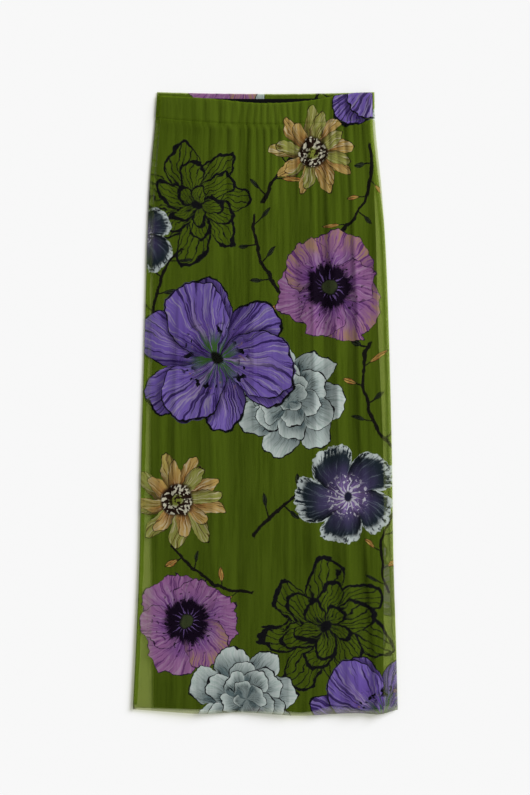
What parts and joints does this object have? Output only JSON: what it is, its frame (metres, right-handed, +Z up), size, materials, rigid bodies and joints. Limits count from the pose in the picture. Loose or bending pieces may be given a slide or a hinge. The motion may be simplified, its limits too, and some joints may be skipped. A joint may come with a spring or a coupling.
{
  "type": "pencil skirt",
  "caption": "Long straight skirt in printed sheer mesh over a dark lining, with an elastic waist casing, laid flat on its back.",
  "frame": {"origin": "middle of the skirt's outline, on the surface that it lies on", "axes": "+Z up off the surface, out of the skirt's front; +Y along the skirt towards the waist; +X towards the right of the picture"},
  "size_m": [0.3959, 0.931, 0.0097],
  "materials": {
    "printed_mesh": "sheer printed mesh, matt",
    "lining_jersey": "opaque black jersey, matt"
  },
  "bodies": {
    "root": {"front_panel": "printed_mesh", "waist_casing_front": "printed_mesh", "back_panel_left": "printed_mesh", "back_panel_right": "printed_mesh", "waist_casing_back_left": "printed_mesh", "waist_casing_back_right": "printed_mesh", "lining_front": "lining_jersey", "lining_back": "lining_jersey"}
  },
  "joints": []
}
